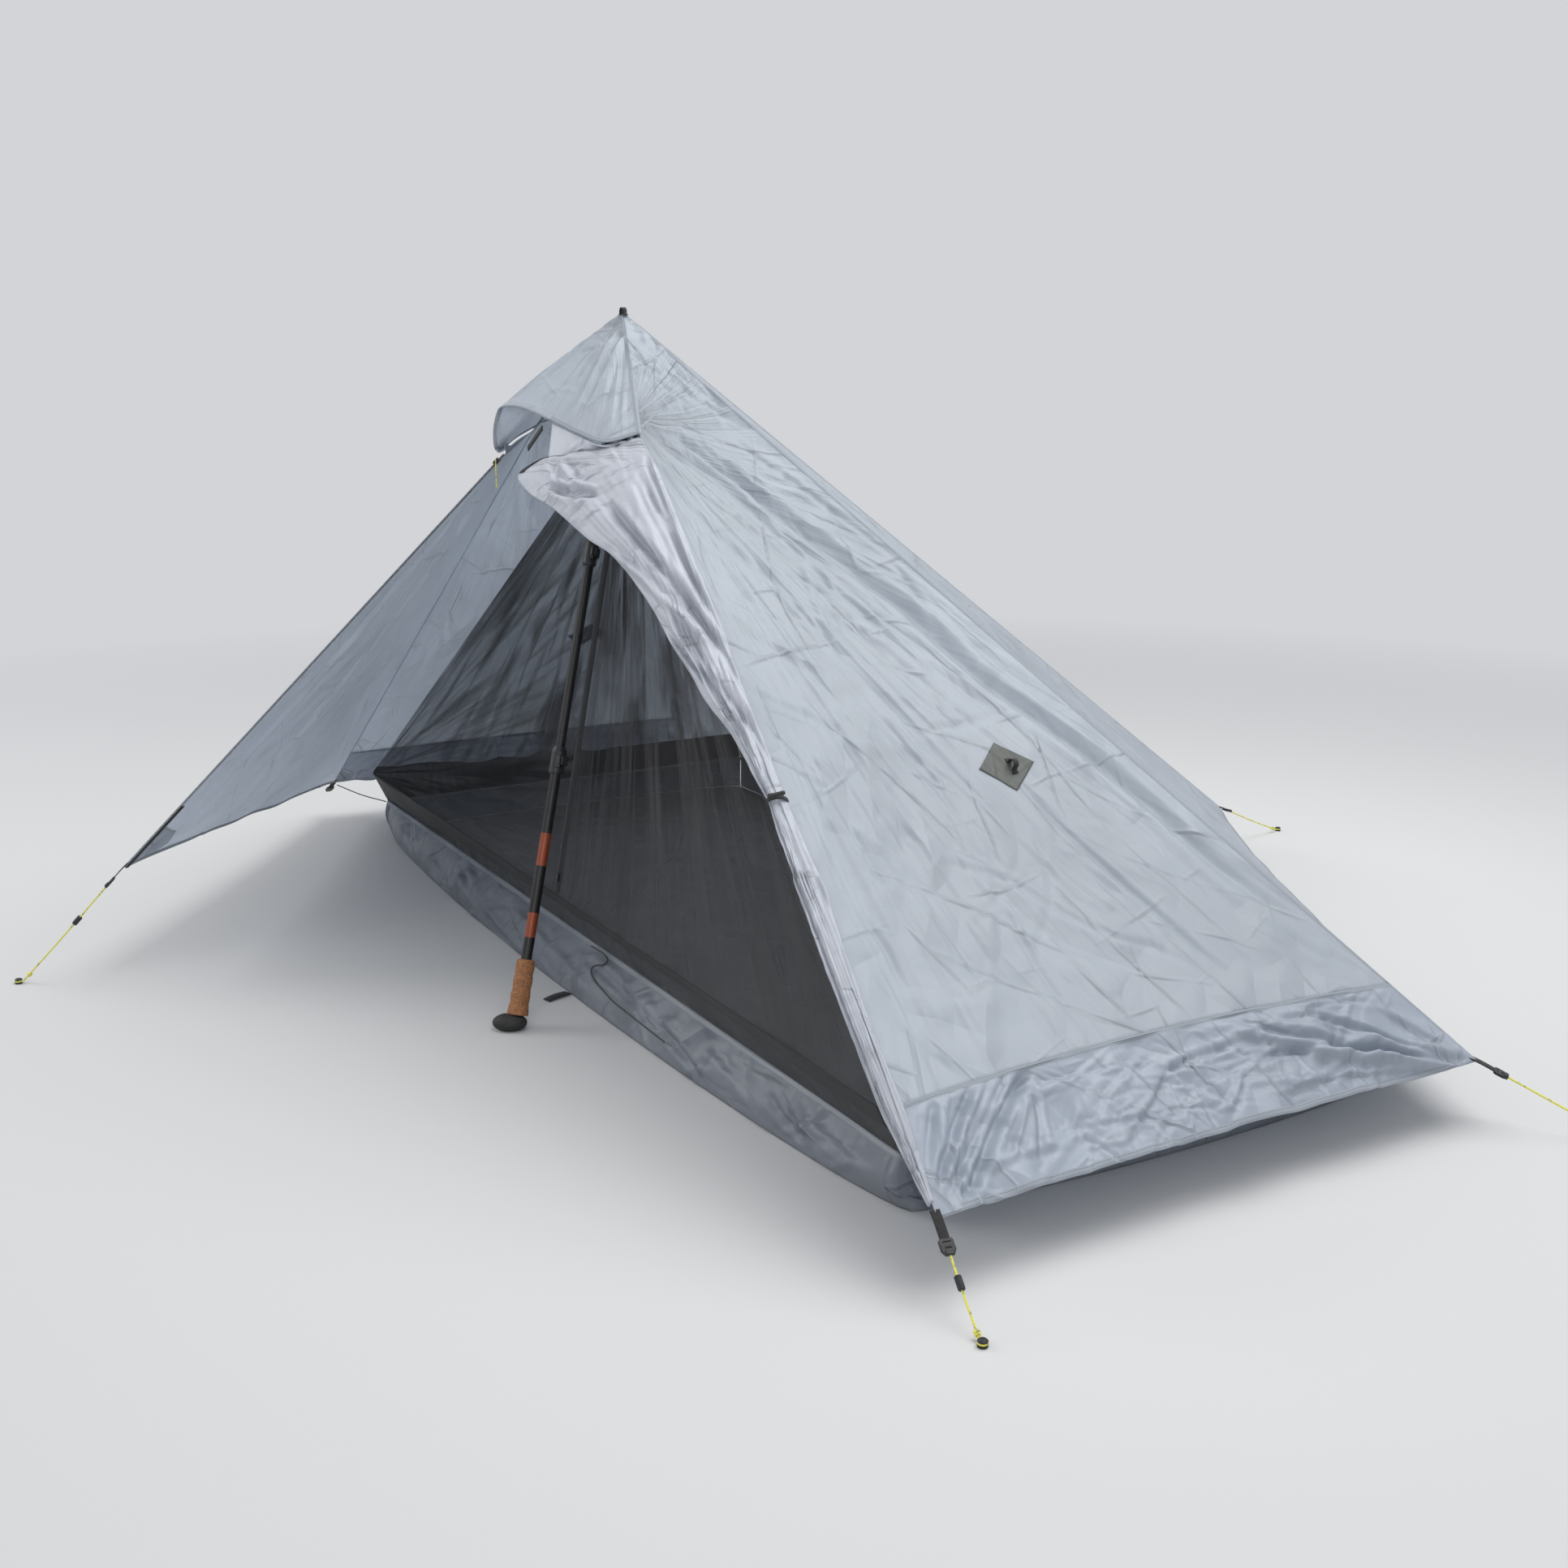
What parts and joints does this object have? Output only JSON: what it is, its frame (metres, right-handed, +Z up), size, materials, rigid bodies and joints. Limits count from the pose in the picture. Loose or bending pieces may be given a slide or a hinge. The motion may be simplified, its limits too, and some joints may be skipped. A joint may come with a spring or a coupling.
{
  "type": "one-person trekking-pole tent",
  "caption": "Pitched one-person tent: six-sided pyramid fly with a hooded vent and one door half rolled back, mesh inner with a bathtub floor, adjustable pole, guylines and ground anchors.",
  "frame": {"origin": "on the ground, at the centre of the base of the tent's box measured without its guylines and anchors", "axes": "+X along the sleeper towards the end with the rolled door half, -Y towards the door, +Z up"},
  "size_m": [2.7738, 2.731, 1.1656],
  "materials": {
    "fly_cloth": "coated woven nylon, pale blue-grey, faint satin sheen, pulled into soft creases",
    "tub_cloth": "coated woven nylon, mid blue-grey, softly wrinkled",
    "net": "fine black insect mesh, seen through at close range",
    "webbing": "black woven polyester tape, matt",
    "hard_plastic": "black moulded acetal, satin",
    "cork": "pressed cork granules, dark flecks, matt",
    "grip_rubber": "black rubber, matt with a soft moulded texture",
    "shaft_metal": "black anodised tube with plain orange bands, satin",
    "yellow_cord": "yellow braided polyester cord, matt",
    "black_cord": "black braided shock cord, matt",
    "patch_cloth": "dark grey-green reinforcing ripstop, stitched round its edge"
  },
  "bodies": {
    "tent": {"fly_right_upper": "fly_cloth", "fly_right_skirt": "fly_cloth", "fly_left_upper": "fly_cloth", "fly_left_skirt": "fly_cloth", "fly_back_right": "fly_cloth", "fly_back_left": "fly_cloth", "door_left": "fly_cloth", "door_right_rolled": "fly_cloth", "peak_hood": "fly_cloth", "tub_floor": "tub_cloth", "tub_wall_front": "tub_cloth", "tub_wall_back": "tub_cloth", "tub_wall_left": "tub_cloth", "tub_wall_right": "tub_cloth", "mesh_front_left": "net", "mesh_front_right": "net", "mesh_sill": "net", "mesh_left_end": "net", "mesh_right_end": "net", "mesh_back": "net", "door_zip": "webbing", "mesh_zip": "webbing", "apex_loop": "webbing", "peak_strap": "webbing", "buckle_door": "webbing", "buckle_front_right": "webbing", "buckle_back_right": "webbing", "buckle_rear": "webbing", "buckle_front_left": "webbing", "buckle_back_left": "webbing", "toggle_strap": "webbing", "tub_tab": "webbing", "anchor_door": "hard_plastic", "anchor_front_right": "hard_plastic", "anchor_back_right": "hard_plastic", "anchor_rear": "hard_plastic", "lower_clamp": "hard_plastic", "guyline_door": "yellow_cord", "guyline_front_right": "yellow_cord", "guyline_back_right": "yellow_cord", "guyline_rear": "yellow_cord", "corner_tie": "black_cord", "pull_cord": "black_cord", "guyout_right": "patch_cloth", "guyout_left": "patch_cloth", "cork_grip": "cork", "grip_head": "grip_rubber", "grip_shaft": "shaft_metal"},
    "middle_section": {"middle_shaft": "shaft_metal", "upper_clamp": "hard_plastic"},
    "tip_section": {"tip_shaft": "shaft_metal"},
    "lower_lock_lever": {"lower_lever": "hard_plastic"},
    "upper_lock_lever": {"upper_lever": "hard_plastic"},
    "door_slider": {"zip_slider": "hard_plastic"},
    "door_pull": {"zip_pull": "yellow_cord"},
    "inner_slider": {"mesh_slider": "hard_plastic"},
    "strut": {"vent_strut": "webbing"},
    "toggle": {"toggle_bar": "hard_plastic"},
    "door_tensioner": {"tensioner_door": "hard_plastic"},
    "corner_tensioner": {"tensioner_front_right": "hard_plastic"}
  },
  "joints": [
    {"name": "middle_section_slide", "type": "slide", "parent": "tent", "child": "middle_section", "axis": [-0.216, 0.2894, 0.9325], "range_m": [-0.27, 0]},
    {"name": "tip_section_slide", "type": "slide", "parent": "middle_section", "child": "tip_section", "axis": [-0.216, 0.2894, 0.9325], "range_m": [-0.3, 0]},
    {"name": "lower_lever_pivot", "type": "hinge", "parent": "tent", "child": "lower_lock_lever", "pos_m": [0.15572, -0.52219, 0.42644], "axis": [0.216, -0.2894, -0.9325], "range_deg": [0, 110]},
    {"name": "upper_lever_pivot", "type": "hinge", "parent": "middle_section", "child": "upper_lock_lever", "pos_m": [0.07724, -0.41742, 0.7618], "axis": [0.216, -0.2894, -0.9325], "range_deg": [0, 110]},
    {"name": "door_slider_slide", "type": "slide", "parent": "tent", "child": "door_slider", "axis": [-0.2372, -0.6536, -0.7187], "range_m": [0, 0.94]},
    {"name": "door_pull_swing", "type": "hinge", "parent": "door_slider", "child": "door_pull", "pos_m": [-0.10683, -0.5155, 0.90586], "axis": [-0.3412, -0.94, 0], "range_deg": [-15, 30]},
    {"name": "inner_slider_slide", "type": "slide", "parent": "tent", "child": "inner_slider", "axis": [-0.0662, 0.218, 0.9737], "range_m": [0, 0.765]},
    {"name": "strut_pivot", "type": "hinge", "parent": "tent", "child": "strut", "pos_m": [-0.008, -0.4669, 0.965], "axis": [0.706, -0.263, -0.6576], "range_deg": [0, 85]},
    {"name": "toggle_turn", "type": "hinge", "parent": "tent", "child": "toggle", "pos_m": [0.80222, -0.47388, 0.49838], "axis": [0.5682, -0.3446, 0.7473], "range_deg": [-80, 80]},
    {"name": "door_tensioner_slide", "type": "slide", "parent": "tent", "child": "door_tensioner", "axis": [-0.2321, -0.64, -0.7325], "range_m": [-0.04, 0.06]},
    {"name": "corner_tensioner_slide", "type": "slide", "parent": "tent", "child": "corner_tensioner", "axis": [0.77, -0.1347, -0.6237], "range_m": [-0.018, 0.04]}
  ]
}
